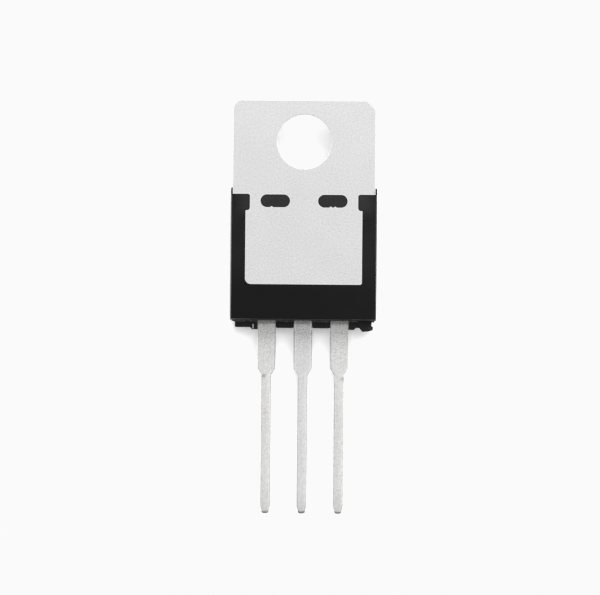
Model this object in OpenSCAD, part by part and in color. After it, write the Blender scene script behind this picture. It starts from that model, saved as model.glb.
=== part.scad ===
// Three-terminal voltage regulator in a moulded power package with a drilled heat-sink tab.
//
// Millimetres. The origin is the centre of the mounting hole in the tab's back face.
// +Z points out of that back face, +Y towards the free end of the tab, and the leads run along -Y.
// The package lies on the front face of its moulding, as it comes to rest on a table.

/* [Heat-sink tab] */
// Width of the tab
tab_w = 9.9; // [9.5:0.05:10.0]
// Thickness of the tab, and of the slug that is one with it
tab_t = 1.27; // [1.1:0.01:1.4]
// Diameter of the mounting hole
hole_d = 3.75; // [3.5:0.05:4.1]
// Distance from the hole's centre to the free end of the tab
hole_to_end = 2.9; // [2.6:0.05:3.4]
// Length of tab edge that the slanting cut takes off the corner on the output side
corner_cut_output = 0.4; // [0.2:0.01:0.6]
// Length of tab edge that the slanting cut takes off the corner on the input side
corner_cut_input = 0.6; // [0.2:0.01:0.8]
// Radius that rounds both ends of those cuts
corner_r = 0.35; // [0.1:0.01:0.5]

/* [Slug and locks] */
// Width of the slug's bare back face
slug_w = 8.12; // [7.8:0.02:8.4]
// Radius of the bare face's lower corner on the output side
slug_r_output = 0.4; // [0.1:0.01:0.6]
// Radius of the bare face's lower corner on the input side
slug_r_input = 0.15; // [0.1:0.01:0.6]
// Width of the coined ledge that the compound grips, round the slug's buried edge
ledge_w = 0.35; // [0.2:0.01:0.4]
// Depth of that ledge below the back face
ledge_drop = 0.45; // [0.3:0.01:0.6]
// Width of the neck between the two side notches
neck_w = 7.52; // [7.4:0.02:7.7]
// Height of a side notch, along the tab
notch_h = 1.14; // [0.9:0.02:1.3]
// Inner corner radius of a side notch at its upper end
notch_r_upper = 0.15; // [0.05:0.01:0.3]
// Inner corner radius of a side notch at its lower end
notch_r_lower = 0.2; // [0.05:0.01:0.4]
// Distance from the moulding's upper edge down to the side notches
notch_inset = 0.46; // [0.3:0.02:0.7]
// Length of a lock slot
slot_l = 2.05; // [1.8:0.01:2.2]
// Width of a lock slot
slot_w = 0.89; // [0.7:0.01:1.0]
// Distance between the centres of the two lock slots
slot_pitch = 4; // [3.8:0.01:4.3]
// Distance from the moulding's upper edge down to the lock slots' centre line
slot_inset = 0.93; // [0.85:0.01:1.1]
// Radius of the punch burrs at a lock slot's lower edge
burr_r = 0.1; // [0.06:0.01:0.12]

/* [Moulded body] */
// Width of the moulding at its parting plane
body_w = 10.2; // [10.0:0.02:10.5]
// Length of the moulding, at its parting plane
body_l = 9.22; // [8.9:0.02:9.5]
// Thickness of the whole package, from the tab's back face to the moulding's front face
body_t = 4.5; // [4.3:0.02:4.7]
// Distance from the hole's centre to the moulding's upper edge
hole_to_body = 3.2; // [2.9:0.02:3.5]
// Width of the compound band below the slug, on the back
end_wall = 2.5; // [2.3:0.02:2.7]
// Draft of the mould's back half, in degrees
back_draft = 2; // [1:0.5:4]
// Draft of the mould's front half, in degrees
front_draft = 5; // [3:0.5:8]
// Length of the bevel along the front face's upper edge
bevel_l = 0.9; // [0.5:0.05:1.2]
// Depth of that bevel
bevel_t = 1.3; // [0.8:0.05:1.6]
// Radius of the front face's other edges
front_edge_r = 0.25; // [0.1:0.01:0.3]
// Radius of the parting edge and of the back face's edges
back_edge_r = 0.06; // [0.03:0.01:0.1]
// Diameter of the ejector pin's mark on the front face
ejector_d = 1.6; // [1.2:0.05:2.0]
// Depth of the ejector pin's mark
ejector_t = 0.12; // [0.05:0.01:0.2]
// Distance of that mark's centre from the moulding's lower edge
ejector_y = 4.6; // [3.5:0.05:5.5]

/* [Compound left outside the moulding] */
// Reach of the compound squeezed out between the leads, up to where the dam bar was
dam_reach = 0.55; // [0.4:0.01:0.7]
// Reach of the compound left beside each outer lead
dam_outer_reach = 0.51; // [0.4:0.01:0.6]
// Width of the compound left beside each outer lead
dam_outer_w = 1.56; // [1.3:0.01:1.7]
// Radius of this compound's lower corners
dam_r = 0.1; // [0.05:0.01:0.15]
// Width of the lobe that hangs from that compound, next to the outer lead
lobe_w = 0.5; // [0.35:0.01:0.6]
// How much further the lobe reaches
lobe_reach = 0.14; // [0.05:0.01:0.2]
// Width of the crack in the lobe on the output side
crack_w = 0.05; // [0.03:0.01:0.08]
// Length of that crack
crack_l = 0.3; // [0.2:0.01:0.35]
// Distance from the output lead's edge to the crack
crack_inset = 0.29; // [0.2:0.01:0.3]
// Distance from the lobe's lower edge up to the crack
crack_foot = 0.07; // [0.04:0.01:0.1]
// Thickness of the broken stub of the mould's gate
gate_t = 0.75; // [0.6:0.01:0.9]
// How far the broken stub hangs below the dam line
gate_reach = 0.22; // [0.1:0.01:0.3]

/* [Leads] */
// Distance between the centres of neighbouring leads
lead_pitch = 2.54; // [2.5:0.01:2.6]
// Thickness of the leads
lead_t = 0.5; // [0.4:0.01:0.6]
// Distance from the tab's back face to the back of the leads
lead_drop = 2.5; // [2.3:0.01:2.7]
// Length of the leads beyond the moulding
lead_l = 13.48; // [12.7:0.02:14.0]
// Width of a lead's root
root_w = 1.3; // [1.15:0.01:1.5]
// Length of a lead's root beyond the moulding
root_l = 3.38; // [3.0:0.02:4.0]
// Width of a lead's pin
pin_w = 0.74; // [0.6:0.01:0.9]
// Length of the taper from root to pin
taper_l = 0.44; // [0.3:0.01:0.6]
// Width of a pin's cut end
tip_w = 0.46; // [0.4:0.01:0.55]
// Length of a pin's tapered tip
tip_l = 0.56; // [0.4:0.01:0.8]
// Depth of the outer leads in the moulding
embed_l = 1.95; // [1.7:0.01:2.0]
// Width of the bonding post at an outer lead's buried end
post_w = 2.2; // [1.8:0.02:2.4]
// Length of that post
post_l = 1.0; // [0.8:0.02:1.1]
// Corner radius of that post
post_r = 0.2; // [0.1:0.01:0.3]
// Slope of the centre lead's joggle, in degrees
joggle_slope = 55; // [50:1:70]
// Level length of the centre lead between the slug and its joggle
joggle_start = 0.1; // [0.05:0.01:0.2]

/* [Die and wires] */
// Width of the silicon die
die_w = 2.4; // [2.0:0.05:2.8]
// Length of the silicon die
die_l = 2.0; // [1.6:0.05:2.4]
// Thickness of the silicon die
die_t = 0.3; // [0.2:0.01:0.4]
// Distance from the die's centre to the slug's lower edge
die_from_edge = 2.6; // [2.4:0.05:3.0]
// Thickness of the solder under the die
solder_t = 0.05; // [0.03:0.01:0.08]
// Width of the solder's fillet that shows round the die
solder_rim = 0.12; // [0.05:0.01:0.2]
// Diameter of the bond wires
wire_d = 0.25; // [0.2:0.01:0.3]
// Inset of the wires' bonds from the die's edge
bond_inset = 0.35; // [0.3:0.01:0.45]
// Distance between the output wire and the sense wire
wire_gap = 0.5; // [0.4:0.01:0.7]
// Length of the ground wire, in plan
ground_l = 1.5; // [1.3:0.01:1.7]
// Angle between a wire's chord and its end, in degrees
wire_rise = 50; // [45:1:55]

/* [Hidden] */

$fn = 64;
output_side = -1; // the output lead lies on the -X side
input_side = 1;   // the input lead lies on the +X side
burrs_output = [-0.26];      // places of the burrs along the lock slot on the output side
burrs_input = [-0.14, 0.17]; // and along the one on the input side
arc_steps = 5;    // facets that round one edge of the moulding
corner_slope = 45; // slope of the cuts across the tab's corners, in degrees
nib = 0.1;        // overlap by which a lug is rooted in the solid that it is one with
wire_bury = 0.12; // length of wire that a bond flattens at each end

// The gate stub's snapped edge, as shares of its width and of its reach beyond the dam line
gate_break = [
    [0.18, -0.4], [0.42, 1], [0.75, 0.9], [1.03, 0.6], [1.12, 0], [0.98, -0.7], [1.03, -1.5],
];

// Heights, from the tab's back face at zero down to the moulding's front face
tab_front_z = -tab_t;
front_z = -body_t;
lead_back_z = -lead_drop;
lead_front_z = lead_back_z - lead_t;
solder_front_z = tab_front_z - solder_t;
die_front_z = solder_front_z - die_t;

// Stations along the package, from the tab's free end down to the tips of the leads
body_top_y = -hole_to_body;
body_bottom_y = body_top_y - body_l;
notch_top_y = body_top_y - notch_inset;
notch_bottom_y = notch_top_y - notch_h;
slot_y = body_top_y - slot_inset;
slug_bottom_y = body_bottom_y + end_wall;
core_bottom_y = slug_bottom_y - ledge_w;
dam_y = body_bottom_y - dam_reach;
lobe_y = body_bottom_y - dam_outer_reach - lobe_reach;
tip_y = body_bottom_y - lead_l;
post_top_y = body_bottom_y + embed_l;
post_y = post_top_y - post_l / 2;
die_y = slug_bottom_y + die_from_edge;

core_w = slug_w + 2 * ledge_w;
root_edge = lead_pitch + root_w / 2; // outer edge of an outer lead's root
back_taper = lead_drop * tan(back_draft);
front_taper = (body_t - lead_drop) * tan(front_draft);
top_taper = (body_t - tab_t - bevel_t) * tan(front_draft);

// ---------------------------------------------------------------- outlines

function unit(v) = v / norm(v);

// The arc of radius r that rounds corner b of the outline a, b, c
function corner_arc(a, b, c, r) =
    let (
        to_a = unit(a - b),
        to_c = unit(c - b),
        half = acos(to_a * to_c) / 2,
        centre = b + unit(to_a + to_c) * r / sin(half),
        first = b + to_a * r / tan(half) - centre,
        last = b + to_c * r / tan(half) - centre,
        start = atan2(first.y, first.x),
        sweep = (atan2(last.y, last.x) - start + 540) % 360 - 180
    )
    [for (i = [0:arc_steps]) let (f = start + sweep * i / arc_steps) centre + r * [cos(f), sin(f)]];

// An outline whose corners are given as [x, y, radius]
function rounded(corners) =
    let (n = len(corners), p = [for (c = corners) [c.x, c.y]])
    [for (i = [0:n - 1]) each corner_arc(p[(i + n - 1) % n], p[i], p[(i + 1) % n], corners[i][2])];

// What a true arc of radius r takes off the corner at the origin, towards +X and +Y
module spandrel(r) {
    difference() {
        translate([-nib, -nib]) square(r + nib);
        translate([r, r]) circle(r);
    }
}

// What a slanting cut takes off the corner at the origin, towards +X and +Y, when it shortens
// both edges by leg and its two ends are rounded
module corner_cut(leg, r) {
    reach = leg + r * tan(corner_slope / 2);
    foot = r * [sin(corner_slope), cos(corner_slope)];
    difference() {
        translate([-nib, -nib]) square(reach + nib);
        polygon([[reach, reach], [r, reach], [r, reach] - foot, [reach, r] - foot, [reach, r]]);
        translate([r, reach]) circle(r);
        translate([reach, r]) circle(r);
    }
}

// A plate outline from (x0, y0) to (x1, y1), with a radius at each corner or 0 for a sharp one
module plate(x0, y0, x1, y1, lower_left = 0, lower_right = 0, upper_right = 0, upper_left = 0) {
    difference() {
        translate([x0, y0]) square([x1 - x0, y1 - y0]);
        if (lower_left > 0) translate([x0, y0]) spandrel(lower_left);
        if (lower_right > 0) translate([x1, y0]) rotate(90) spandrel(lower_right);
        if (upper_right > 0) translate([x1, y1]) rotate(180) spandrel(upper_right);
        if (upper_left > 0) translate([x0, y1]) rotate(270) spandrel(upper_left);
    }
}

// Extrudes an outline between two heights
module layer(z0, z1) {
    translate([0, 0, z0]) linear_extrude(z1 - z0) children();
}

// Extrudes an outline drawn in the Y-Z plane across a width centred on X = 0
module across(w) {
    translate([-w / 2, 0, 0]) rotate([90, 0, 90]) linear_extrude(w) children();
}

// ---------------------------------------------------------------- heat-sink tab and centre lead

// The slot's outline, with the small burrs that the punch leaves along its lower edge
module lock_slot(burrs) {
    straight = slot_l - slot_w;
    difference() {
        union() {
            square([straight, slot_w], center = true);
            for (s = [-1, 1]) translate([s * straight / 2, 0]) circle(d = slot_w);
        }
        for (x = burrs) translate([x, -slot_w / 2 - burr_r / 3]) circle(burr_r);
    }
}

// The notch on one side of the neck, from its inner end to beyond the tab's edge
module side_notch(side) {
    mirror([side < 0 ? 1 : 0, 0])
        plate(neck_w / 2, notch_bottom_y, tab_w, notch_top_y,
            lower_left = notch_r_lower, upper_left = notch_r_upper);
}

// Everything of the stamping that shows on the back: the tab, the neck and the bare slug
module back_outline() {
    difference() {
        union() {
            plate(-tab_w / 2, notch_bottom_y, tab_w / 2, hole_to_end);
            plate(-slug_w / 2, slug_bottom_y, slug_w / 2, notch_bottom_y + nib,
                lower_left = slug_r_output, lower_right = slug_r_input);
        }
        translate([-tab_w / 2, hole_to_end]) rotate(270) corner_cut(corner_cut_output, corner_r);
        translate([tab_w / 2, hole_to_end]) rotate(180) corner_cut(corner_cut_input, corner_r);
        for (s = [output_side, input_side]) side_notch(s);
        circle(d = hole_d);
        translate([-slot_pitch / 2, slot_y]) lock_slot(burrs_output);
        translate([slot_pitch / 2, slot_y]) lock_slot(burrs_input);
    }
}

// The slug's buried core, which the coined ledge leaves wider than its bare face
module core_outline() {
    plate(-core_w / 2, core_bottom_y, core_w / 2, notch_bottom_y,
        lower_left = slug_r_output, lower_right = slug_r_input);
}

// Outline of a lead beyond the moulding and down to its cut tip, about X = 0
module lead_outline(top_y) {
    root_y = body_bottom_y - root_l;
    pin_y = root_y - taper_l;
    polygon([
        [-root_w / 2, top_y], [-root_w / 2, root_y], [-pin_w / 2, pin_y],
        [-pin_w / 2, tip_y + tip_l], [-tip_w / 2, tip_y], [tip_w / 2, tip_y],
        [pin_w / 2, tip_y + tip_l], [pin_w / 2, pin_y], [root_w / 2, root_y],
        [root_w / 2, top_y],
    ]);
}

// Side view of the centre lead: level with the slug's front face, then down to the leads' plane.
// Both surfaces turn at places that keep the strip's thickness along the slope.
module joggle_side() {
    high_back_z = tab_front_z + lead_t;
    run = (high_back_z - lead_back_z) / tan(joggle_slope);
    turn = lead_t * tan(joggle_slope / 2);
    first_y = core_bottom_y - joggle_start;
    second_y = first_y - run;
    root_y = core_bottom_y + nib;
    polygon([
        [root_y, high_back_z], [first_y, high_back_z], [second_y, lead_back_z],
        [tip_y, lead_back_z], [tip_y, lead_front_z], [second_y + turn, lead_front_z],
        [first_y + turn, tab_front_z], [root_y, tab_front_z],
    ]);
}

module centre_lead() {
    intersection() {
        layer(front_z, 0) lead_outline(core_bottom_y + nib);
        across(lead_pitch) joggle_side();
    }
}

module heat_sink_tab() color("gainsboro") {
    layer(tab_front_z, 0) back_outline();
    layer(tab_front_z, -ledge_drop) core_outline();
    centre_lead();
}

// ---------------------------------------------------------------- outer leads

// A lead blank with the wide post that its wires are bonded to
module outer_lead(side) {
    translate([side * lead_pitch, 0, 0])
        layer(lead_front_z, lead_back_z) {
            lead_outline(post_top_y - nib);
            plate(-post_w / 2, post_top_y - post_l, post_w / 2, post_top_y,
                post_r, post_r, post_r, post_r);
        }
}

module output_lead() color("gainsboro") outer_lead(output_side);

module input_lead() color("gainsboro") outer_lead(input_side);

// ---------------------------------------------------------------- die, solder and wires

module silicon_die() color("slategray")
    layer(die_front_z, solder_front_z)
        plate(-die_w / 2, die_y - die_l / 2, die_w / 2, die_y + die_l / 2);

module die_solder() color("darkgray") {
    x = die_w / 2 + solder_rim;
    y = die_l / 2 + solder_rim;
    layer(solder_front_z, tab_front_z)
        plate(-x, die_y - y, x, die_y + y, solder_rim, solder_rim, solder_rim, solder_rim);
}

// A wire that arches from p to q on the front side of both, in the upright plane through them.
// Its ends run on into the two bonds, where the pieces that they are bonded to trim them flat.
module arched_wire(p, q) {
    chord = q - p;
    plan = norm([chord.x, chord.y]);
    span = norm(chord);
    r = span / 2 / sin(wire_rise);
    bury = wire_bury / r * 180 / PI;
    difference() {
        translate(p)
            rotate([0, 0, atan2(chord.y, chord.x)])
                rotate([0, atan2(-chord.z, plan), 0])
                    translate([span / 2, 0, r * cos(wire_rise)])
                        rotate([90, 0, 0])
                            rotate([0, 0, 270 - wire_rise - bury])
                                rotate_extrude(angle = 2 * (wire_rise + bury))
                                    translate([r, 0]) circle(d = wire_d);
        silicon_die();
        outer_lead(output_side);
        outer_lead(input_side);
        heat_sink_tab();
    }
}

// From the die's lower corner on one side to the post on that side, both moved inward
module lead_wire(side, inward) {
    die_bond_x = side * (die_w / 2 - bond_inset - inward);
    die_bond_y = die_y - die_l / 2 + bond_inset;
    arched_wire(
        [die_bond_x, die_bond_y, die_front_z],
        [side * (lead_pitch - inward), post_y, lead_front_z]);
}

module output_wire() color("silver") lead_wire(output_side, 0);

module sense_wire() color("silver") lead_wire(output_side, wire_gap);

module input_wire() color("silver") lead_wire(input_side, 0);

module ground_wire() color("silver") {
    top = die_y + die_l / 2 - bond_inset;
    arched_wire([0, top, die_front_z], [0, top + ground_l, tab_front_z]);
}

// ---------------------------------------------------------------- moulded body

// Side view of the moulding: flush with the tab's back face, drafted both ways from the
// parting plane, and bevelled along the front face's upper edge
module body_side() {
    polygon(rounded([
        [notch_top_y, 0, back_edge_r],
        [notch_top_y, tab_front_z, back_edge_r],
        [body_top_y, tab_front_z, back_edge_r],
        [body_top_y - top_taper, front_z + bevel_t, front_edge_r],
        [body_top_y - top_taper - bevel_l, front_z, front_edge_r],
        [body_bottom_y + front_taper, front_z, front_edge_r],
        [body_bottom_y, lead_back_z, back_edge_r],
        [body_bottom_y + back_taper, 0, back_edge_r],
    ]));
}

// End view of the moulding, drafted both ways from the parting plane
module body_end() {
    back_x = body_w / 2 - back_taper;
    front_x = body_w / 2 - front_taper;
    polygon(rounded([
        [-back_x, 0, back_edge_r], [-body_w / 2, lead_back_z, back_edge_r],
        [-front_x, front_z, front_edge_r], [front_x, front_z, front_edge_r],
        [body_w / 2, lead_back_z, back_edge_r], [back_x, 0, back_edge_r],
    ]));
}

// Compound that filled the gap between two lead edges up to the dam bar
module dam_block(x0, x1, reach) {
    layer(lead_front_z, lead_back_z)
        plate(x0, body_bottom_y - reach, x1, body_bottom_y + nib,
            lower_left = dam_r, lower_right = dam_r);
}

// Compound beside an outer lead, with the lobe that the dam bar's shear left next to it.
// The lobe slants off on its far side.
module outer_dam(side) {
    mirror([side < 0 ? 1 : 0, 0, 0]) {
        dam_block(root_edge, root_edge + dam_outer_w, dam_outer_reach);
        layer(lead_front_z, lead_back_z)
            translate([root_edge, lobe_y])
                polygon([
                    [0, 0], [lobe_w - lobe_reach, 0], [lobe_w, lobe_reach],
                    [lobe_w, lobe_reach + nib], [0, lobe_reach + nib],
                ]);
    }
}

// The crack that runs up through the lobe on the output side
module lobe_crack() {
    x = -root_edge - crack_inset;
    y = lobe_y + crack_foot;
    layer(lead_front_z - nib, lead_back_z + nib)
        plate(x - crack_w / 2, y, x + crack_w / 2, y + crack_l);
}

// The stub of the gate, snapped off unevenly at the corner beside the input lead
module gate_stub() {
    gate_w = dam_outer_w - lobe_w;
    middle_z = (lead_back_z + lead_front_z) / 2;
    layer(middle_z - gate_t / 2, middle_z + gate_t / 2)
        translate([root_edge + lobe_w, 0])
            polygon([
                [gate_w, body_bottom_y + nib],
                [nib, body_bottom_y + nib],
                for (p = gate_break) [p.x * gate_w, dam_y - p.y * gate_reach],
            ]);
}

module moulded_body() color([0.13, 0.13, 0.14]) {
    gap = lead_pitch - root_w;
    difference() {
        union() {
            intersection() {
                across(2 * body_w) body_side();
                translate([0, body_top_y + nib, 0]) rotate([90, 0, 0])
                    linear_extrude(body_l + 2 * nib) body_end();
            }
            for (s = [-1, 1])
                dam_block(s * lead_pitch / 2 - gap / 2, s * lead_pitch / 2 + gap / 2, dam_reach);
            for (s = [output_side, input_side]) outer_dam(s);
            gate_stub();
        }
        heat_sink_tab();
        for (s = [output_side, input_side]) outer_lead(s);
        silicon_die();
        die_solder();
        output_wire();
        sense_wire();
        input_wire();
        ground_wire();
        lobe_crack();
        translate([0, body_bottom_y + ejector_y, front_z - nib])
            cylinder(h = ejector_t + nib, d = ejector_d);
    }
}

moulded_body();
heat_sink_tab();
output_lead();
input_lead();
silicon_die();
die_solder();
output_wire();
sense_wire();
input_wire();
ground_wire();
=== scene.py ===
# %% [markdown]
# # A voltage regulator in its moulded power package
#
# The real part is four things that a hand can feel: a black epoxy moulding, a thick
# tin-plated copper tab that shows through the moulding's back, and three flat leads, the
# middle one being the same strip of metal as the tab. It lies on its front face, so its
# bare metal back looks up. This lesson dresses the imported solids, which already have the
# right shapes and sizes, with rounded edges, finishes and the small marks of manufacture,
# and paints some light and shade into the finishes.

# %% Load the solids
import math

import bmesh
import bpy
from mathutils import Matrix, Vector, noise


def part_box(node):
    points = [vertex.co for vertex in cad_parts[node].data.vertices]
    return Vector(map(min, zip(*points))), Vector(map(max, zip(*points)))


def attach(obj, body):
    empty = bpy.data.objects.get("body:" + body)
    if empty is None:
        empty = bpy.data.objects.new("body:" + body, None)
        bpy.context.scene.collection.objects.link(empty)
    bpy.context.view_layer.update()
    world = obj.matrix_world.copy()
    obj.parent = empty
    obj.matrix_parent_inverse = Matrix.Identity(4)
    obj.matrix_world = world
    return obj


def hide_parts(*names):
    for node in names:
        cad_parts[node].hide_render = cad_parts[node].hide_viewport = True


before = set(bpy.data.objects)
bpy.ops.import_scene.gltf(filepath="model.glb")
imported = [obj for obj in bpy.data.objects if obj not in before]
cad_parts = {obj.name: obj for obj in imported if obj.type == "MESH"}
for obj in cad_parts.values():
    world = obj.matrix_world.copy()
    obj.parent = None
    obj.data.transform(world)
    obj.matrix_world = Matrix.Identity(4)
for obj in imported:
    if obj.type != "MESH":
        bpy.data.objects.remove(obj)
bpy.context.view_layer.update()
MM = 0.001

# %% [markdown]
# ## Where things are
#
# The origin is the centre of the mounting hole, in the plane of the tab's back face. The
# finishes below follow edges and outlines of the solids. Their places could be typed in a
# second time, but here they are read from the solids' corners, so they stay right when a
# size changes.

# %% Landmarks from the solids
NEAR = 0.1 * MM  # a corner this close to a face's plane counts as lying in it


def corners(node):
    """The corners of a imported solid."""
    return [v.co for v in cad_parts[node].data.vertices]


def in_mm(*lengths):
    """Lengths as text, in millimetres."""
    return ", ".join(f"{length / MM:.4g}" for length in lengths) + " mm"


body_low, body_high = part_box("moulded_body")
tab_low, tab_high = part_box("heat_sink_tab")
lead_low, lead_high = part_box("output_lead")
input_low, input_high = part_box("input_lead")

FLOOR_Z = body_low.z
BACK_Z = tab_high.z
TIP_Y = tab_low.y
LEAD_BACK_Z = lead_high.z
PITCH = (input_low.x + input_high.x) / 2
print("floor and lead heights", in_mm(FLOOR_Z, lead_low.z, LEAD_BACK_Z), "pitch", in_mm(PITCH))

# The moulding's upper and lower ends, read on a side wall, where nothing stands out
side_wall = [c.y for c in corners("moulded_body") if c.x < body_low.x + NEAR]
BODY_EDGE_Y = min(side_wall)
BODY_TOP_Y = max(side_wall)
print("moulding's ends", in_mm(BODY_TOP_Y, BODY_EDGE_Y))

# Half the width of a lead where it leaves the moulding
root_x = [c.x for c in corners("input_lead") if c.y < BODY_EDGE_Y]
ROOT_HALF = (max(root_x) - min(root_x)) / 2
print("lead roots are", in_mm(2 * ROOT_HALF), "wide")

# %% Landmarks in the tab's back face
# The slots and notches that lock the moulding to the tab lie in a band below the moulding's
# upper edge. On the input side, the corners nearer to the middle than the neck belong to
# the lock slot, and the others to the side notch.
LOCK_BAND = 1.6 * MM
NECK_X = 3.3 * MM
back_corners = [c for c in corners("heat_sink_tab") if c.z > BACK_Z - NEAR]
lock_corners = [c for c in back_corners if NEAR < BODY_TOP_Y - c.y < LOCK_BAND]
slot_corners = [c for c in lock_corners if 0 < c.x < NECK_X]
notch_corners = [c for c in lock_corners if NECK_X < c.x < tab_high.x - NEAR]
SLOT_LEFT = min(c.x for c in slot_corners)
SLOT_RIGHT = max(c.x for c in slot_corners)
SLOT_TOP_Y = max(c.y for c in slot_corners)
SLOT_HALF_W = (SLOT_TOP_Y - min(c.y for c in slot_corners)) / 2
NOTCH_X = min(c.x for c in notch_corners)
NOTCH_TOP_Y = max(c.y for c in notch_corners)
NOTCH_LOW_Y = min(c.y for c in notch_corners)
SLUG_X = max(c.x for c in back_corners if c.y < NOTCH_LOW_Y - NEAR)
SLUG_LOW_Y = min(c.y for c in back_corners)
HOLE_RADIUS = min(c.xy.length for c in back_corners)
print("hole radius", in_mm(HOLE_RADIUS))
print("slot", in_mm(SLOT_LEFT, SLOT_RIGHT, SLOT_TOP_Y, SLOT_HALF_W))
print("notch", in_mm(NOTCH_X, NOTCH_TOP_Y, NOTCH_LOW_Y))
print("slug", in_mm(SLUG_X, SLUG_LOW_Y))

# %% [markdown]
# ## The camera
#
# A long lens high above the part shows it almost without perspective, so next to nothing of
# the hole's wall can be seen. An orthographic camera would show none of it at all. The frame
# is 600 pixels wide, and the part could be framed by eye. Two measures place it exactly: the
# pixels that a millimetre spans, and the pixel of the hole's centre.

# %% Camera
FRAME_PIXELS = 600
PIXELS_PER_MM = 14.4
HOLE_PIXEL = Vector((304.6, 141.55))
FRAME_CENTRE_PIXEL = Vector((300.0, 297.5))
CAMERA_HEIGHT = 700 * MM
CAMERA_ROLL = math.radians(0.5)
SENSOR_WIDTH = 36

view_width = FRAME_PIXELS / PIXELS_PER_MM * MM
aim = (FRAME_CENTRE_PIXEL - HOLE_PIXEL) / PIXELS_PER_MM * MM
camera_data = bpy.data.cameras.new("camera")
camera_data.sensor_width = SENSOR_WIDTH
camera_data.lens = SENSOR_WIDTH * CAMERA_HEIGHT / view_width
camera_data.clip_start = 10 * MM
camera_data.clip_end = 5
camera = bpy.data.objects.new("camera", camera_data)
camera.rotation_euler = (0, 0, CAMERA_ROLL)
camera.location = Matrix.Rotation(CAMERA_ROLL, 3, "Z") @ Vector((aim.x, -aim.y, CAMERA_HEIGHT))
bpy.context.scene.collection.objects.link(camera)
bpy.context.scene.camera = camera
print("lens", round(camera_data.lens), "mm, view", in_mm(view_width), "wide")

# %% [markdown]
# ## Floor and light
#
# One small lamp would draw hard shadows and leave the metal dark, because metal shows what it
# mirrors. So small parts are often pictured on a lit table, inside a pale tent: the ground is
# plain white, and bare metal has something bright to mirror. The floor here gives a little
# light of its own, as opal acrylic does with a lamp under it. A world of even white is the
# tent, and one wide lamp above, set towards the tab's free end, gives the light a direction:
# the compound's lower wall then darkens the roots of the leads.

# %% Floor
FLOOR_HALF = 3.0
FLOOR_GAP = 0.01 * MM  # keeps the floor clear of the moulding's front face
FLOOR_GREY = 0.98
FLOOR_GLOW = 0.2
floor_mesh = bpy.data.meshes.new("floor")
bm = bmesh.new()
bmesh.ops.create_grid(bm, x_segments=1, y_segments=1, size=FLOOR_HALF)
bmesh.ops.translate(bm, verts=bm.verts, vec=(0, 0, FLOOR_Z - FLOOR_GAP))
bm.to_mesh(floor_mesh)
bm.free()
floor = bpy.data.objects.new("floor", floor_mesh)
bpy.context.scene.collection.objects.link(floor)

floor_material = bpy.data.materials.new("opal acrylic")
floor_material.use_nodes = True
acrylic = floor_material.node_tree.nodes["Principled BSDF"]
acrylic.inputs["Base Color"].default_value = (FLOOR_GREY, FLOOR_GREY, FLOOR_GREY, 1)
acrylic.inputs["Roughness"].default_value = 0.9
acrylic.inputs["Specular IOR Level"].default_value = 0.0
acrylic.inputs["Emission Color"].default_value = (1, 1, 1, 1)
acrylic.inputs["Emission Strength"].default_value = FLOOR_GLOW
floor_mesh.materials.append(floor_material)
print("floor", 2 * FLOOR_HALF, "m across, glowing", FLOOR_GLOW)

# %% Tent and soft lamp
TENT_STRENGTH = 0.8
LAMP_POWER = 14.5
LAMP_SIZE = 0.83
LAMP_PLACE = Vector((0.1, 0.45, 1.1))

world = bpy.data.worlds.new("tent")
world.use_nodes = True
world.node_tree.nodes["Background"].inputs["Color"].default_value = (1, 1, 1, 1)
world.node_tree.nodes["Background"].inputs["Strength"].default_value = TENT_STRENGTH
bpy.context.scene.world = world

lamp_data = bpy.data.lights.new("soft lamp", "AREA")
lamp_data.shape = "DISK"
lamp_data.size = LAMP_SIZE
lamp_data.energy = LAMP_POWER
lamp = bpy.data.objects.new("soft lamp", lamp_data)
lamp.location = LAMP_PLACE
lamp.rotation_euler = (-LAMP_PLACE).to_track_quat("-Z", "Y").to_euler()
lamp.visible_camera = False
bpy.context.scene.collection.objects.link(lamp)
print("tent", TENT_STRENGTH, "lamp", LAMP_POWER, "W")

# %% Exposure
# The lit table is brighter than paper white, and the tone curve holds it just below white.
PAPER_WHITE = 0.956
ALL_CHANNELS = 3  # a tone curve's fourth curve acts on red, green and blue alike
view_settings = bpy.context.scene.view_settings
view_settings.view_transform = "Standard"
view_settings.use_curve_mapping = True
tone_curve = view_settings.curve_mapping
tone_curve.extend = "HORIZONTAL"
curve_points = tone_curve.curves[ALL_CHANNELS].points
curve_points[-1].location = (PAPER_WHITE, PAPER_WHITE)
for point in curve_points:
    point.handle_type = "VECTOR"
tone_curve.update()
print("tones above", PAPER_WHITE, "are held there")

# %% [markdown]
# ## Helpers for materials
#
# A finish could come from a picture wrapped round the part, but then every piece needs
# unwrapping and a file. Here every finish is built from noise in Object coordinates. The
# objects sit at the origin, so a pattern stays where it is on the part, however the part is
# turned in front of a camera. A few small helpers keep the node trees readable: each adds
# its nodes and returns the socket with the result.

# %% A material and its coordinates
def new_material(name):
    material = bpy.data.materials.new(name)
    material.use_nodes = True
    tree = material.node_tree
    return material, tree, tree.nodes["Principled BSDF"]


def object_coordinates(tree):
    return tree.nodes.new("ShaderNodeTexCoord").outputs["Object"]


def axes(tree, place):
    """The x, y and z of a place, as three sockets."""
    node = tree.nodes.new("ShaderNodeSeparateXYZ")
    tree.links.new(place, node.inputs["Vector"])
    return node.outputs


def stretched(tree, place, sizes):
    """The place with each axis scaled, so that noise on it is drawn out along the short ones."""
    node = tree.nodes.new("ShaderNodeMapping")
    node.inputs["Scale"].default_value = sizes
    tree.links.new(place, node.inputs["Vector"])
    return node.outputs["Vector"]


print("coordinates ready")

# %% Noise and ranges
def noise_at(tree, place, grain, detail=2.0, roughness=0.5):
    """Noise whose lumps are about grain across, in metres."""
    node = tree.nodes.new("ShaderNodeTexNoise")
    node.inputs["Scale"].default_value = 1 / grain
    node.inputs["Detail"].default_value = detail
    node.inputs["Roughness"].default_value = roughness
    tree.links.new(place, node.inputs["Vector"])
    return node.outputs["Fac"]


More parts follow.
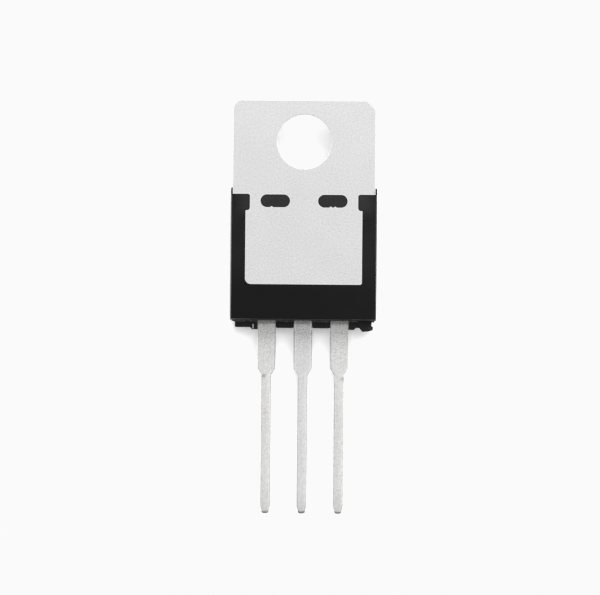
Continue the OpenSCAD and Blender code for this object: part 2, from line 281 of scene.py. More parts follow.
def remap(tree, value, low, high, to_low, to_high):
    """value from low..high to to_low..to_high, held at the ends."""
    node = tree.nodes.new("ShaderNodeMapRange")
    node.clamp = True
    numbers = {"From Min": low, "From Max": high, "To Min": to_low, "To Max": to_high}
    for socket, number in numbers.items():
        node.inputs[socket].default_value = number
    tree.links.new(value, node.inputs["Value"])
    return node.outputs["Result"]


def spread(tree, grains, to_low, to_high):
    """Noise, which lies mostly between 0.3 and 0.7, spread over a range."""
    return remap(tree, grains, 0.3, 0.7, to_low, to_high)


print("noise ready")

# %% Arithmetic on sockets
def combine(tree, operation, *values):
    """Works through sockets and numbers from left to right, with one math node for each step."""
    result = values[0]
    for value in values[1:]:
        node = tree.nodes.new("ShaderNodeMath")
        node.operation = operation
        for socket, term in zip(node.inputs, (result, value)):
            if isinstance(term, (int, float)):
                socket.default_value = term
            else:
                tree.links.new(term, socket)
        result = node.outputs[0]
    return result


def product(tree, *factors):
    return combine(tree, "MULTIPLY", *factors)


def total(tree, *terms):
    return combine(tree, "ADD", *terms)


def minus(tree, value, taken):
    return combine(tree, "SUBTRACT", value, taken)


def greatest(tree, *values):
    return combine(tree, "MAXIMUM", *values)


def least(tree, *values):
    return combine(tree, "MINIMUM", *values)


def size_of(tree, value):
    """The value without its sign."""
    return combine(tree, "ABSOLUTE", value, 0.0)


def diagonal(tree, a, b):
    """The length of the slope over two legs."""
    squares = total(tree, product(tree, a, a), product(tree, b, b))
    return combine(tree, "SQRT", squares, 0.0)


print("arithmetic ready")

# %% Colour and bump
def tint(tree, value, dark, light):
    """A colour ramp from dark to light."""
    node = tree.nodes.new("ShaderNodeValToRGB")
    node.color_ramp.elements[0].color = (*dark, 1)
    node.color_ramp.elements[1].color = (*light, 1)
    tree.links.new(value, node.inputs["Fac"])
    return node.outputs["Color"]


def scaled_colour(tree, colour, factor):
    """A colour times a factor that changes over the surface."""
    node = tree.nodes.new("ShaderNodeVectorMath")
    node.operation = "SCALE"
    tree.links.new(colour, node.inputs[0])
    tree.links.new(factor, node.inputs["Scale"])
    return node.outputs["Vector"]


def bump(tree, shader, height, distance, strength):
    node = tree.nodes.new("ShaderNodeBump")
    node.inputs["Distance"].default_value = distance
    node.inputs["Strength"].default_value = strength
    tree.links.new(height, node.inputs["Height"])
    tree.links.new(node.outputs["Normal"], shader.inputs["Normal"])


print("colour and bump ready")

# %% [markdown]
# ## Where metal meets compound
#
# The slug's outline, the two lock slots and the two side notches show on the back as lines
# between pale metal and black compound. Compound shrinks a little as it sets, so a fine groove
# runs along its side of the line, and its shade is painted there as a dark line. Along the
# metal's side runs a lighter rim, a painted highlight. Both stay close to the back face. They
# could be cut into the mesh, but they are as fine as a hair, so the material draws them: one
# function gives the distance from the nearest line, and tones are set by that distance.

# %% Distance from the metal's outline
RIM_DEPTH = 0.3 * MM  # groove and rim are gone this far below the back face
DEEPEST_FULL = 0.2 * MM  # and down to here they have their full strength


def from_slot(tree, side, y):
    """Distance outwards from the rounded outline of a lock slot, less than zero inside it."""
    middle_x = (SLOT_LEFT + SLOT_RIGHT) / 2
    middle_y = SLOT_TOP_Y - SLOT_HALF_W
    straight = (SLOT_RIGHT - SLOT_LEFT) / 2 - SLOT_HALF_W
    off_middle = size_of(tree, minus(tree, side, middle_x))
    along = greatest(tree, minus(tree, off_middle, straight), 0.0)
    return minus(tree, diagonal(tree, along, minus(tree, y, middle_y)), SLOT_HALF_W)


def from_line(tree, x, y):
    """Distance from the line between metal and compound."""
    side = size_of(tree, x)
    in_slug = minus(tree, SLUG_X, side)
    above_notch = minus(tree, y, NOTCH_TOP_Y)
    below_notch = least(tree, minus(tree, NOTCH_LOW_Y, y), in_slug)
    notch = greatest(tree, minus(tree, NOTCH_X, side), below_notch, above_notch)
    above_slug = minus(tree, y, NOTCH_LOW_Y)
    slug = greatest(tree, least(tree, in_slug, minus(tree, y, SLUG_LOW_Y)), above_slug)
    return size_of(tree, least(tree, notch, from_slot(tree, side, y), slug))


def by_line(tree, place, inner, outer, effect):
    """The effect at the line, fading to one between the two distances and away from the back."""
    x, y, z = axes(tree, place)
    close = remap(tree, from_line(tree, x, y), inner, outer, effect - 1, 0.0)
    at_back = remap(tree, z, BACK_Z - RIM_DEPTH, BACK_Z - DEEPEST_FULL, 0.0, 1.0)
    return total(tree, product(tree, close, at_back), 1.0)


print("rim and groove are", in_mm(RIM_DEPTH), "deep")

# %% [markdown]
# ## Matte tin
#
# The tab and leads are copper strip, plated with matte tin after moulding. Matte tin is a
# film of small crystals, so its mirror is blurred: it looks like light grey paper with a fine
# grain. Each effect could mix in a colour of its own, but small effects that only lighten or
# darken are simpler to balance as numbers near one. So the tone of the metal is a product of
# them, and the colour is that product times a nearly neutral grey.

# %% Tin grain
FILM_DRIFT = 2.6 * MM
DRIFT_CONTRAST = 0.015


def varied(tree, grains, contrast):
    """A tone about one that follows the noise, by the contrast either way."""
    return spread(tree, grains, 1 - contrast, 1 + contrast)


def tin_grain(tree, place, grain, contrast):
    """A tone near one, with the crystals' grain and a slow drift of the film's thickness."""
    fine = noise_at(tree, place, grain, detail=3.0, roughness=0.65)
    broad = noise_at(tree, place, FILM_DRIFT, detail=1.0)
    crystals = varied(tree, fine, contrast)
    return product(tree, crystals, varied(tree, broad, DRIFT_CONTRAST)), fine


print("tin drifts over", in_mm(FILM_DRIFT))

# %% [markdown]
# ## What the leads went through, and painted light on them
#
# While the package was moulded, a dam bar joined the leads just below the compound. Each lead
# carries a dark ragged band just below the moulding, a little warmer in colour. Below the band
# the roots get painted light, and further down painted shade, which reshape the shade that the
# moulding's lower wall casts on them. The punch that took the bar out left long marks further
# down, and the pins' ends were cut after plating, so they show darker metal. All of these could
# be painted by hand, but they lie in bands across the leads, so masks on the Y coordinate put
# them there, with noise added to the coordinate to make their edges ragged.

# %% The leads' roots
# A dark ragged band crosses each lead just below the moulding; these set its length and edge.
DARK_BAND_LENGTH = 0.27 * MM
DARK_BAND_END_Y = BODY_EDGE_Y - DARK_BAND_LENGTH  # where the dark band ends
DARK_BAND_GRAIN = 0.12 * MM
DARK_BAND_RAGGED = 0.06 * MM
DARK_BAND_FADE = 0.02 * MM
DARK_BAND_TONE = 0.68
RAGGED_TO, EVEN_FROM = -0.7 * PITCH, -0.5 * PITCH  # along X, between output and centre lead
EVEN_SHARE = 0.25  # how ragged the band is on the other leads, beside the output lead
# Painted light just below the dark band and painted shade further down reshape the shade that the
# moulding's lower wall casts on the roots.
LIFT_LENGTH = 0.6 * MM
SHADE_NEAR, SHADE_FAR = 0.9 * MM, 2.4 * MM  # painted shade fades out between these, below the dark band
ROOT_NEAR, ROOT_FAR = 2.6 * MM, 4.0 * MM  # and the root's own tone between these, painted shade on the centre lead
STAIN_GRAIN = 0.1 * MM
STAIN_NEAR, STAIN_FAR = 0.7 * MM, 3.2 * MM
CLEAN_NEAR, CLEAN_FAR = 0.53, 0.68  # noise above this is a stain, near the moulding and far off
STAIN_FADE = 0.04
STAIN_TONE = 0.74


def dark_root_band(tree, place, x, y):
    """A dark ragged band across the lead's root, most ragged on the output lead."""
    uneven = remap(tree, x, RAGGED_TO, EVEN_FROM, 1.0, EVEN_SHARE)
    grains = noise_at(tree, place, DARK_BAND_GRAIN, detail=3.0)
    ragged = product(tree, spread(tree, grains, -DARK_BAND_RAGGED, DARK_BAND_RAGGED), uneven)
    edge = total(tree, y, ragged)
    return remap(tree, edge, DARK_BAND_END_Y - DARK_BAND_FADE, DARK_BAND_END_Y + DARK_BAND_FADE, 1.0, DARK_BAND_TONE)


def root_light_and_shade(tree, y, lit, shaded, root):
    """Painted light just below the dark band, painted shade below that, then the root's own tone.
    """
    near = remap(tree, y, DARK_BAND_END_Y - LIFT_LENGTH, DARK_BAND_END_Y, 1.0, lit)
    below = remap(tree, y, DARK_BAND_END_Y - SHADE_FAR, DARK_BAND_END_Y - SHADE_NEAR, 1.0, shaded)
    whole = remap(tree, y, DARK_BAND_END_Y - ROOT_FAR, DARK_BAND_END_Y - ROOT_NEAR, 1.0, root)
    return product(tree, near, below, whole)


def stained_root(tree, place, y):
    """Dark grains of stain that lie dense by the moulding and thin out along the root."""
    grains = noise_at(tree, place, STAIN_GRAIN, detail=1.0)
    far, near = BODY_EDGE_Y - STAIN_FAR, BODY_EDGE_Y - STAIN_NEAR
    clean = remap(tree, y, far, near, CLEAN_FAR, CLEAN_NEAR)
    return remap(tree, minus(tree, grains, clean), 0.0, STAIN_FADE, 1.0, STAIN_TONE)


# The second length printed is how far the painted light reaches below the dark band.
print("dark band", in_mm(DARK_BAND_LENGTH), "long, fresh metal", in_mm(LIFT_LENGTH), "long")

# %% The pins and their ends
PIN_NEAR, PIN_FAR = 3.0 * MM, 4.4 * MM  # below the moulding, where a root narrows to its pin
# Painted sheen: one side of each pin is a little lighter than the other.
SHEEN_LEFT, SHEEN_RIGHT = -0.012, 0.048
SHEEN_FADE = 0.1 * MM
TIP_NEAR, TIP_FAR = 0.3 * MM, 1.6 * MM
TIP_TONE = 0.9
CUT_DARK, CUT_FADED = 0.112 * MM, 0.24 * MM  # dark up to here from the tip, and plain from here
CUT_GRAIN = 0.15 * MM
CUT_RAGGED = 0.05 * MM
CUT_TONE = 0.42
DRAWN_OUT = (1.0, 0.12, 1.0)  # scales that stretch a pattern along Y
DRAW_GRAIN = 0.1 * MM
DRAW_CONTRAST = 0.04


def off_lead(tree, x):
    """Distance along X from the centre line of the nearest lead, with its sign."""
    nearest = combine(tree, "ROUND", combine(tree, "DIVIDE", x, PITCH), 0.0)
    held = greatest(tree, least(tree, nearest, 1.0), -1.0)
    return minus(tree, x, product(tree, held, PITCH))


def pin_sheen_and_tips(tree, x, y):
    """Painted sheen on the pins, a little brighter than the roots and most on one side; darker
    towards the tips.
    """
    on_pin = remap(tree, y, BODY_EDGE_Y - PIN_FAR, BODY_EDGE_Y - PIN_NEAR, 1.0, 0.0)
    side = remap(tree, off_lead(tree, x), -SHEEN_FADE, SHEEN_FADE, SHEEN_LEFT, SHEEN_RIGHT)
    sheen = total(tree, product(tree, on_pin, side), 1.0)
    return product(tree, sheen, remap(tree, y, TIP_Y + TIP_NEAR, TIP_Y + TIP_FAR, TIP_TONE, 1.0))


def cut_end(tree, place, y):
    """The pin's cut end, darker and uneven."""
    grains = noise_at(tree, place, CUT_GRAIN)
    edge = total(tree, y, spread(tree, grains, -CUT_RAGGED, CUT_RAGGED))
    return remap(tree, edge, TIP_Y + CUT_DARK, TIP_Y + CUT_FADED, CUT_TONE, 1.0)


def draw_marks(tree, place):
    """Long faint marks along the pins."""
    along = stretched(tree, place, DRAWN_OUT)
    return varied(tree, noise_at(tree, along, DRAW_GRAIN), DRAW_CONTRAST)


print("pins start", in_mm(PIN_NEAR), "below the moulding, and cut ends reach", in_mm(CUT_FADED))

# %% Painted light on the tab's end and on the hole's wall
TAB_END_START = -3.5 * MM
# Painted light on the tab's free end
TAB_END_LIGHT_GAIN = 0.03
OUTPUT_SHARE, INPUT_SHARE = 0.85, 1.25  # of that gain, at the two sides
WALL_START, WALL_END = 0.01 * MM, 0.05 * MM  # from the hole's radius outwards
# Painted light on the mounting hole's wall
WALL_LIGHT = 1.7


def tab_end_light(tree, x, y):
    """Painted light: the tab's free end is a little brighter, most on the input side."""
    towards_end = remap(tree, y, TAB_END_START, tab_high.y, 0.0, TAB_END_LIGHT_GAIN)
    input_side = remap(tree, x, tab_low.x, tab_high.x, OUTPUT_SHARE, INPUT_SHARE)
    return total(tree, product(tree, towards_end, input_side), 1.0)


def hole_wall_light(tree, x, y):
    """Painted light that makes the mounting hole's wall bright."""
    radius = diagonal(tree, x, y)
    return remap(tree, radius, HOLE_RADIUS + WALL_START, HOLE_RADIUS + WALL_END, WALL_LIGHT, 1.0)


print("hole's wall", WALL_LIGHT, "times as bright")

# %% Painted highlight on the rolled edges
# How far down a roll a place lies is a share: 0 at the flat back, 1 at the roll's end.
TAB_ROLL = 0.07 * MM
LEAD_ROLL = 0.14 * MM
STEEP_FROM = 0.4
# Painted highlight on the rolled edges, brightest where they are steep
FLAT_GAIN, STEEP_GAIN = 0.25, 1.2
ROOT_GAIN, ROOT_STEEP_GAIN = 0.18, 0.1  # what the roots gain beyond that
ROOT_LIFT_FULL, ROOT_LIFT_GONE = 3.4 * MM, 3.7 * MM  # below the moulding
ROLL_END, ROLL_FADED = 1.1, 1.4
STEP_LENGTH = 0.1 * MM  # from the tab's heights to the leads', below the moulding's edge


def edge_highlight(tree, y, z):
    """Painted highlight on a rolled edge: brightest where it is steep, and more on the leads'
    roots.
    """
    beyond = BODY_EDGE_Y - STEP_LENGTH
    flat = remap(tree, y, beyond, BODY_EDGE_Y, LEAD_BACK_Z, BACK_Z)
    roll = remap(tree, y, beyond, BODY_EDGE_Y, LEAD_ROLL, TAB_ROLL)
    share = combine(tree, "DIVIDE", minus(tree, flat, z), roll)
    steep = remap(tree, share, 0.0, STEEP_FROM, FLAT_GAIN, STEEP_GAIN)
    above_pin = remap(tree, y, BODY_EDGE_Y - ROOT_LIFT_GONE, BODY_EDGE_Y - ROOT_LIFT_FULL, 0.0, 1.0)
    below_body = remap(tree, y, beyond, BODY_EDGE_Y, 1.0, 0.0)
    root_lift = remap(tree, share, 0.0, STEEP_FROM, ROOT_GAIN, ROOT_STEEP_GAIN)
    gain = total(tree, steep, product(tree, above_pin, below_body, root_lift))
    back_only = remap(tree, share, ROLL_END, ROLL_FADED, 1.0, 0.0)
    return total(tree, product(tree, gain, back_only), 1.0)


print("rolls", in_mm(TAB_ROLL, LEAD_ROLL), "deep on tab and leads")

# %% [markdown]
# ## Specks
#
# Handling leaves a few dark specks on the plating. Noise with a high threshold would scatter
# them anywhere, so each is listed instead: a place on the part and a radius. A mask on
# the distance from that place, made uneven by noise, darkens the tone there.

# %% Specks on the plating
SPECKS = [  # the place in millimetres, the radius in millimetres and the tone left in the middle
    ((-0.1, -1.9, 0.0), 0.1, 0.55),
    ((-2.72, -16.3, -2.5), 0.17, 0.58),
    ((-2.6, -18.9, -2.5), 0.12, 0.86),
    ((2.78, -16.5, -2.5), 0.17, 0.6),
    ((0.05, -16.4, -2.5), 0.12, 0.86),
    ((4.88, -3.55, 0.0), 0.1, 0.7),
]
SPECK_GRAIN = 0.08 * MM
SPECK_RAGGED = 0.07 * MM
SPECK_CORE = 0.3  # the share of the radius that is darkest


def specks(tree, place):
    """One, but dark at each speck."""
    uneven = spread(tree, noise_at(tree, place, SPECK_GRAIN), -SPECK_RAGGED, SPECK_RAGGED)
    tones = []
    for spot, size, tone in SPECKS:
        radius = size * MM
        reach = tree.nodes.new("ShaderNodeVectorMath")
        reach.operation = "DISTANCE"
        tree.links.new(place, reach.inputs[0])
        reach.inputs[1].default_value = Vector(spot) * MM
        ring = total(tree, reach.outputs["Value"], uneven)
        tones.append(remap(tree, ring, SPECK_CORE * radius, radius, tone, 1.0))
    return product(tree, *tones)


print(len(SPECKS), "specks")

# %% [markdown]
# ## The plating, put together
#
# All the plated surfaces share one recipe, so that tab and leads look like one bath of tin:
# grain, the dark band, the rim's painted highlight, painted light and shade on the roots, the
# pins' painted sheen, painted light on the tab's end and the hole's wall, marks, stains, cut ends
# and specks make the tone, and the dark band also warms the colour. Tab and leads differ in a
# few numbers only. The rolled edges could be a separate metal, but they carry the same marks, so
# they take the same recipe with a painted highlight on top.

# %% The tone that the marks and the painted light and shade leave
RIM_FULL, RIM_FADED = 0.0225 * MM, 0.075 * MM  # from the line into the metal
# Painted highlight: a lighter rim on the metal along its line with the compound
RIM_HIGHLIGHT = 1.12
LEAD_TOP = BODY_EDGE_Y + 0.2 * MM  # the leads' tones end here, inside the compound
LEAD_TOP_FADE = 0.05 * MM


def on_leads(tree, y, effect):
    """The effect on the leads, and one above them."""
    lead = remap(tree, y, LEAD_TOP - LEAD_TOP_FADE, LEAD_TOP + LEAD_TOP_FADE, 1.0, 0.0)
    return total(tree, product(tree, minus(tree, effect, 1.0), lead), 1.0)


def plated_tone(tree, place, film, root):
    """The tone that all the marks and the painted light and shade on tab and leads leave."""
    x, y, _ = axes(tree, place)
    lead_tone = product(
        tree, draw_marks(tree, place), root_light_and_shade(tree, y, *root), stained_root(tree, place, y),
        pin_sheen_and_tips(tree, x, y))
    rim = by_line(tree, place, RIM_FULL, RIM_FADED, RIM_HIGHLIGHT)
    return product(
        tree, film, rim, tab_end_light(tree, x, y), on_leads(tree, y, lead_tone),
        cut_end(tree, place, y), specks(tree, place), hole_wall_light(tree, x, y))


print("rim", in_mm(RIM_FADED), "wide, lead tones end", in_mm(LEAD_TOP - BODY_EDGE_Y), "inside")

# %% Tin plating
DARK_BAND_COLOURED = 0.7  # a band as dark as this has its full warm colour
DARK_BAND_WARMTH = 0.03
BLUR_SPREAD = 0.04
TIN_BUMP, TIN_BUMP_STRENGTH = 0.005 * MM, 0.6
ROOT_LIGHT_AND_SHADE = (1.52, 0.94, 1.0)  # painted light below the dark band, painted shade below that, and the root's own tone


def warm_grey(grey, warmth):
    return (grey * (1 + warmth), grey, grey * (1 - warmth))


def tin_plating(
        name, grey, blur, grain, contrast=0.06, warmth=0.0, root=ROOT_LIGHT_AND_SHADE, edges=False):
    material, tree, shader = new_material(name)
    place = object_coordinates(tree)
    x, y, z = axes(tree, place)
    grain_tone, fine = tin_grain(tree, place, grain, contrast)
    film = on_leads(tree, y, dark_root_band(tree, place, x, y))
    tone = product(tree, grain_tone, plated_tone(tree, place, film, root))
    if edges:
        tone = product(tree, tone, edge_highlight(tree, y, z))
    # The dark band at the roots is also a little warmer in colour.
    clean = remap(tree, film, DARK_BAND_COLOURED, 1.0, 0.0, 1.0)
    base = tint(tree, clean, warm_grey(grey, DARK_BAND_WARMTH), warm_grey(grey, warmth))
    tree.links.new(scaled_colour(tree, base, tone), shader.inputs["Base Color"])
    roughness = spread(tree, fine, blur - BLUR_SPREAD, blur + BLUR_SPREAD)
    tree.links.new(roughness, shader.inputs["Roughness"])
    shader.inputs["Metallic"].default_value = 1.0
    bump(tree, shader, fine, TIN_BUMP, TIN_BUMP_STRENGTH)
    return material


# The tab's root numbers are painted light and shade on the centre lead's root.
TAB_LOOK = {
    "grey": 0.348, "blur": 0.55, "grain": 0.11 * MM, "contrast": 0.2,
    "root": (1.6, 0.92, 0.97)}
LEAD_LOOK = {
    "grey": 0.348, "blur": 0.55, "grain": 0.13 * MM, "contrast": 0.22, "warmth": 0.006}
tab_tin = tin_plating("matte tin of the tab", **TAB_LOOK)
lead_tin = tin_plating("matte tin of the leads", **LEAD_LOOK)
# The rolls' finishes carry a painted highlight.
tab_edge_tin = tin_plating("painted highlight on the tab's edges", edges=True, **TAB_LOOK)
lead_edge_tin = tin_plating("painted highlight on the leads' edges", edges=True, **LEAD_LOOK)
print("made", tab_tin.name, "and", lead_tin.name, "with painted highlights on their edges")

# %% [markdown]
# ## Moulding compound
#
# The compound is epoxy filled with fine glass sand and blackened with soot. The mould's
# spark-eroded walls leave it evenly matt. It is almost black, with paler grains of filler. A
# single black would look like a hole beside the bright metal. So the tone is a sum of small
# greys: the skin's own, more beside the slug and in the locks, where cleaning blasts it, and
# most on the blocks that the dam bar's punch sheared, where that grey is painted light that
# lifts the shade they lie in.

# %% Tone of the compound
SKIN_TONE = 0.0016
SIDE_TONE = 0.0036
LOCK_TONE = 0.0100
RIGHT_TONE = 0.0013
# Painted light on the sheared blocks below the moulding's lower edge
BLOCK_LIGHT = 0.017
SIDES_FROM, SIDES_FULL = -10.3 * MM, -8.6 * MM
LOCKS_FROM, LOCKS_FULL = -5.4 * MM, -4.6 * MM
LOCKS_INNER, LOCKS_OUTER = 4.1 * MM, 4.9 * MM  # the locks' grey fades between these
INPUT_END_SHARE = 0.25
RIGHT_FROM, RIGHT_FULL = -1.0 * MM, 5.0 * MM
BLOCK_LIGHT_FADE = 0.03 * MM


def compound_tone(tree, x, y):
    """Almost black at the leads' end, greyer up beside the slug and greyest in the locks; painted
    light on the blocks below.
    """
    sides = remap(tree, y, SIDES_FROM, SIDES_FULL, 0.0, SIDE_TONE)
    locks = product(
        tree, remap(tree, y, LOCKS_FROM, LOCKS_FULL, 0.0, LOCK_TONE),
        remap(tree, x, -LOCKS_OUTER, -LOCKS_INNER, 0.0, 1.0),
        remap(tree, x, LOCKS_INNER, LOCKS_OUTER, 1.0, INPUT_END_SHARE))
    right = remap(tree, x, RIGHT_FROM, RIGHT_FULL, 0.0, RIGHT_TONE)
    low, high = BODY_EDGE_Y - BLOCK_LIGHT_FADE, BODY_EDGE_Y + BLOCK_LIGHT_FADE
    block_light = remap(tree, y, low, high, BLOCK_LIGHT, 0.0)
    return total(tree, sides, locks, right, block_light, SKIN_TONE)


print("compound between", SKIN_TONE, "and", BLOCK_LIGHT)

# %% Black compound
MOTTLE_SIZE = 1.2 * MM
MOTTLE_CONTRAST = 0.15
GROOVE_FULL, GROOVE_FADED = 0.03 * MM, 0.0975 * MM  # from the line into the compound
# Painted shade of the shrink groove, drawn as a dark line on the compound
GROOVE_SHADE = 0.35
SOOT_COLOURS = (1.0, 0.96, 1.03), (1.0, 0.97, 1.04)
SMOOTH, ROUGH = 0.5, 0.62
GLOSS = 0.07
GRAIN_BUMP, GRAIN_BUMP_STRENGTH = 0.008 * MM, 0.7


def black_compound(name, extra_tone=0.0, grain_size=0.09 * MM, contrast=0.35):
    material, tree, shader = new_material(name)
    place = object_coordinates(tree)
    x, y, _ = axes(tree, place)
    grain = noise_at(tree, place, grain_size, detail=3.0, roughness=0.6)
    broad = noise_at(tree, place, MOTTLE_SIZE)
    mottle = product(tree, varied(tree, grain, contrast), varied(tree, broad, MOTTLE_CONTRAST))
    # The groove's painted shade
    groove = by_line(tree, place, GROOVE_FULL, GROOVE_FADED, GROOVE_SHADE)
    tone = product(tree, total(tree, compound_tone(tree, x, y), extra_tone), mottle, groove)
    soot = tint(tree, broad, *SOOT_COLOURS)
    tree.links.new(scaled_colour(tree, soot, tone), shader.inputs["Base Color"])
    tree.links.new(spread(tree, grain, SMOOTH, ROUGH), shader.inputs["Roughness"])
    shader.inputs["Specular IOR Level"].default_value = GLOSS
    bump(tree, shader, grain, GRAIN_BUMP, GRAIN_BUMP_STRENGTH)
    return material


compound = black_compound("black moulding compound")
torn_compound = black_compound("torn compound", extra_tone=0.03, grain_size=0.06 * MM)
flash_compound = black_compound(
    "flash of compound", extra_tone=0.06, grain_size=0.1 * MM, contrast=0.8)
print("made", compound.name, torn_compound.name, "and", flash_compound.name)

# %% [markdown]
# ## Finishes of the buried pieces
#
# The die, its solder and the bond wires can't be seen, but they are real pieces of the part
# and get their own finishes, so that the part can be taken apart or cut open. A chip's face
# is a patchwork of circuit blocks. They could be drawn one by one, but a brick pattern gives
# the same look at this size. Solder and wire are plain metals, so they use the plating's
# recipe with a sharper mirror.

# %% Silicon, solder and wire
CIRCUIT_BLOCK = 0.6 * MM
CIRCUIT_COLOURS = {
    "Color1": (0.10, 0.13, 0.17, 1), "Color2": (0.17, 0.15, 0.19, 1), "Mortar": (0.4, 0.4, 0.36, 1)}
silicon, tree, shader = new_material("polished silicon")
blocks = tree.nodes.new("ShaderNodeTexBrick")
blocks.inputs["Scale"].default_value = 1 / CIRCUIT_BLOCK
for socket, colour in CIRCUIT_COLOURS.items():
    blocks.inputs[socket].default_value = colour
tree.links.new(object_coordinates(tree), blocks.inputs["Vector"])
tree.links.new(blocks.outputs["Color"], shader.inputs["Base Color"])
shader.inputs["Roughness"].default_value = 0.2

solder = tin_plating("die solder", grey=0.42, blur=0.4, grain=0.06 * MM)
wire_metal = tin_plating("aluminium bond wire", grey=0.75, blur=0.3, grain=0.05 * MM)
print("made", silicon.name, solder.name, wire_metal.name)

# %% [markdown]
# ## Rolled edges
#
# A punch pulls the edges of metal strip round before it cuts, so no edge of the tab or leads
# is sharp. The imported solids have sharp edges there. A bevel modifier would round every edge,
# also those that lie flush with the compound, and these have to stay. Each metal piece is
# therefore copied, its loose triangles are merged and its flat faces are made whole again,
# and the bevel operator rounds only the edges that show outside the compound. Last, weighted
# normals let the wide flats rule the shading, so that they stay flat up to the roll.

# %% Copy a solid and merge it
MERGE_WITHIN = 0.0005 * MM
FLAT_WITHIN = math.radians(0.5)


def merged_copy(node):
    """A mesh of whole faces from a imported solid."""
    bm = bmesh.new()
    bm.from_mesh(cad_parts[node].data)
    bmesh.ops.remove_doubles(bm, verts=bm.verts, dist=MERGE_WITHIN)
    bmesh.ops.dissolve_limit(bm, angle_limit=FLAT_WITHIN, verts=bm.verts, edges=bm.edges)
    bmesh.ops.recalc_face_normals(bm, faces=bm.faces)
    return bm


print("corners within", in_mm(MERGE_WITHIN), "are merged")

# %% Finish a piece
SHARP_FROM = 35  # degrees


def bend(edge):
    """The angle between an edge's two faces."""
    return edge.calc_face_angle(0)


def finished(bm, name, materials, sharp=SHARP_FROM):
    """Turns a bmesh into a piece that rides with the part, smooth but for its sharp edges."""
    bm.normal_update()
    for face in bm.faces:
        face.smooth = True
    for edge in bm.edges:
        edge.smooth = len(edge.link_faces) == 2 and bend(edge) < math.radians(sharp)
    mesh = bpy.data.meshes.new(name)
    bm.to_mesh(mesh)
    bm.free()
    for material in materials:
        mesh.materials.append(material)
    piece = bpy.data.objects.new(name, mesh)
    bpy.context.scene.collection.objects.link(piece)
    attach(piece, "root")
    print(name, "has", len(mesh.polygons), "faces")
    return piece


def keep_flats_flat(piece):
    """Gives the wide flat faces the say over the shading, and the bevels the bend."""
    weighted = piece.modifiers.new("flat faces", "WEIGHTED_NORMAL")
    weighted.weight = 100
    weighted.keep_sharp = True


print("edges are sharp from", SHARP_FROM, "degrees")

# %% Bevel what shows
CORNER_ANGLE = math.radians(40)
ROLL_SEGMENTS = 4
EDGE_FINISH = 1  # the rolls take a piece's second material
LEAD_CLEAR = 0.3 * MM
TAB_CLEAR = 0.02 * MM


def middle(edge):
    return (edge.verts[0].co + edge.verts[1].co) / 2


def is_corner(edge):
    return len(edge.link_faces) == 2 and bend(edge) > CORNER_ANGLE


def on_lead(point):
    return point.y < BODY_EDGE_Y - LEAD_CLEAR


def on_tab(point):
    return point.y > NOTCH_TOP_Y + TAB_CLEAR


def roll_edges(bm, shows, roll):
    """Rounds the corners whose middle passes the test, and gives the rolls the edge finish."""
    chosen = [edge for edge in bm.edges if is_corner(edge) and shows(middle(edge))]
    made = bmesh.ops.bevel(
        bm, geom=chosen, offset=roll, offset_type="OFFSET", affect="EDGES",
        segments=ROLL_SEGMENTS, profile=0.5, material=-1, clamp_overlap=True)
    for face in made["faces"]:
        face.material_index = EDGE_FINISH
    return len(chosen)


print("edges roll in", ROLL_SEGMENTS, "steps")

# %% Roll the tab's and the leads' edges
bm = merged_copy("heat_sink_tab")
print("centre lead:", roll_edges(bm, on_lead, LEAD_ROLL), "edges rolled")
print("tab:", roll_edges(bm, on_tab, TAB_ROLL), "edges rolled")
tab = finished(bm, "plated_tab", [tab_tin, tab_edge_tin])
keep_flats_flat(tab)
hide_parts("heat_sink_tab")

for side in ("output", "input"):
    bm = merged_copy(side + "_lead")
    print(side, "lead:", roll_edges(bm, on_lead, LEAD_ROLL), "edges rolled")
    lead = finished(bm, "plated_" + side + "_lead", [lead_tin, lead_edge_tin])
    keep_flats_flat(lead)
    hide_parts(side + "_lead")

# %% [markdown]
# ## Flash along the parting line
#
# Where the two halves of the mould met, a skin of compound thinner than paper squeezed out,
# and it broke off unevenly. Between the back half's drafted wall and the leads it shows as a
# pale ragged line. It could be drawn on the wall by the material, but its teeth stand out
# against the leads, so it is a thin strip: one row of faces along the lower wall, whose outer
# row of corners is moved in and out by noise before solidify gives it its thickness.

# %% Flash fin
FIN_STEPS = 240
FIN_THICK = 0.03 * MM
FIN_LEAST = 0.05 * MM
FIN_TEETH = 0.26 * MM  # the longest teeth could stand out this much further
FIN_ON_LEADS = 0.15  # the share of its reach that the fin has on a lead
FIN_INSET = 0.12 * MM  # at the two ends
FIN_ROOTED = 0.03 * MM  # inside the moulding
FIN_LIFT = 1.6  # the outer row's height over the leads, in fin thicknesses
WAVE_SIZE, WAVE_ROW = 0.35 * MM, 3.1
SPIKE_SIZE, SPIKE_ROW = 0.09 * MM, 7.7


def wave(x, size, row):
    """Noise along X between 0 and 1, from a row of its own."""
    return 0.5 + 0.5 * noise.noise(Vector((x / size, row, 0.0)))


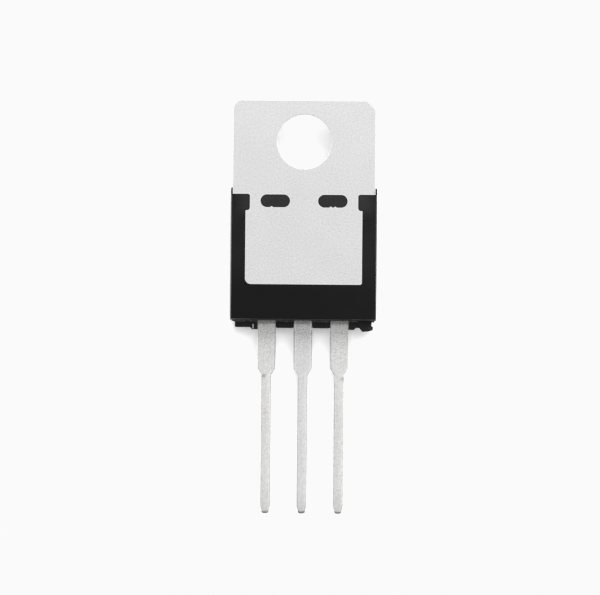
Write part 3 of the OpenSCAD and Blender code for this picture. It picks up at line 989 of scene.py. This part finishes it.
fin_half = (body_high.x - body_low.x) / 2 - FIN_INSET
bm = bmesh.new()
bmesh.ops.create_grid(bm, x_segments=FIN_STEPS, y_segments=1, size=1)
for vert in bm.verts:
    outer = vert.co.y < 0
    x = vert.co.x * fin_half
    nearest = max(-1, min(1, round(x / PITCH)))
    on_root = abs(x - nearest * PITCH) < ROOT_HALF
    tooth = FIN_TEETH * wave(x, WAVE_SIZE, WAVE_ROW) * wave(x, SPIKE_SIZE, SPIKE_ROW)
    reach = (FIN_LEAST + tooth) * (FIN_ON_LEADS if on_root else 1)
    y = BODY_EDGE_Y - reach if outer else BODY_EDGE_Y + FIN_ROOTED
    vert.co = (x, y, LEAD_BACK_Z + FIN_THICK * (FIN_LIFT if outer else 1.0))
bmesh.ops.recalc_face_normals(bm, faces=bm.faces)
bmesh.ops.solidify(bm, geom=bm.faces[:], thickness=FIN_THICK)
finished(bm, "flash_fin", [flash_compound])

# %% [markdown]
# ## The snapped gate
#
# The compound entered the mould through a gate beside the input lead. It was snapped off
# cold, so its broken face is rough and paler than the moulded skin. Bump alone would leave
# the stub's outline straight. So a few lumps, each a ball of faces flattened and roughened by
# noise, are set into the end of the stub.

# %% Broken lumps on the gate's stub
LUMPS = [  # the place and the half sizes of each
    (Vector((4.62, -12.93, -2.72)) * MM, Vector((0.26, 0.17, 0.36)) * MM),
    (Vector((4.3, -13.03, -2.78)) * MM, Vector((0.2, 0.14, 0.32)) * MM),
    (Vector((4.5, -12.74, -2.8)) * MM, Vector((0.26, 0.16, 0.36)) * MM),
]
LARGE_ROUGH, LARGE_PITCH = 0.22, 2.3
FINE_ROUGH, FINE_PITCH = 0.08, 7.0
bm = bmesh.new()
for spot, half in LUMPS:
    for vert in bmesh.ops.create_icosphere(bm, subdivisions=4, radius=1)["verts"]:
        large = LARGE_ROUGH * noise.noise(vert.co * LARGE_PITCH + spot / MM)
        fine = FINE_ROUGH * noise.noise(vert.co * FINE_PITCH)
        vert.co = spot + vert.co * half * (1 + large + fine)
bmesh.ops.recalc_face_normals(bm, faces=bm.faces)
finished(bm, "broken_gate", [torn_compound], sharp=25)

# %% [markdown]
# ## Finishes for the solids
#
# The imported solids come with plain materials. A dressed piece could replace each of them, but
# the moulding, the die, its solder and the wires already have the shapes they need. They keep
# their meshes and only get a finish, and so do the solids that dressed pieces replace.

# %% Give the solids their finishes
FINISHES = {
    "moulded_body": compound,
    "heat_sink_tab": tab_tin,
    "output_lead": lead_tin,
    "input_lead": lead_tin,
    "silicon_die": silicon,
    "die_solder": solder,
    "output_wire": wire_metal,
    "sense_wire": wire_metal,
    "input_wire": wire_metal,
    "ground_wire": wire_metal,
}
for node, finish in FINISHES.items():
    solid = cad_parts[node]
    solid.data.materials.clear()
    solid.data.materials.append(finish)
    print(node, "is", finish.name, "with", len(solid.data.polygons), "faces")
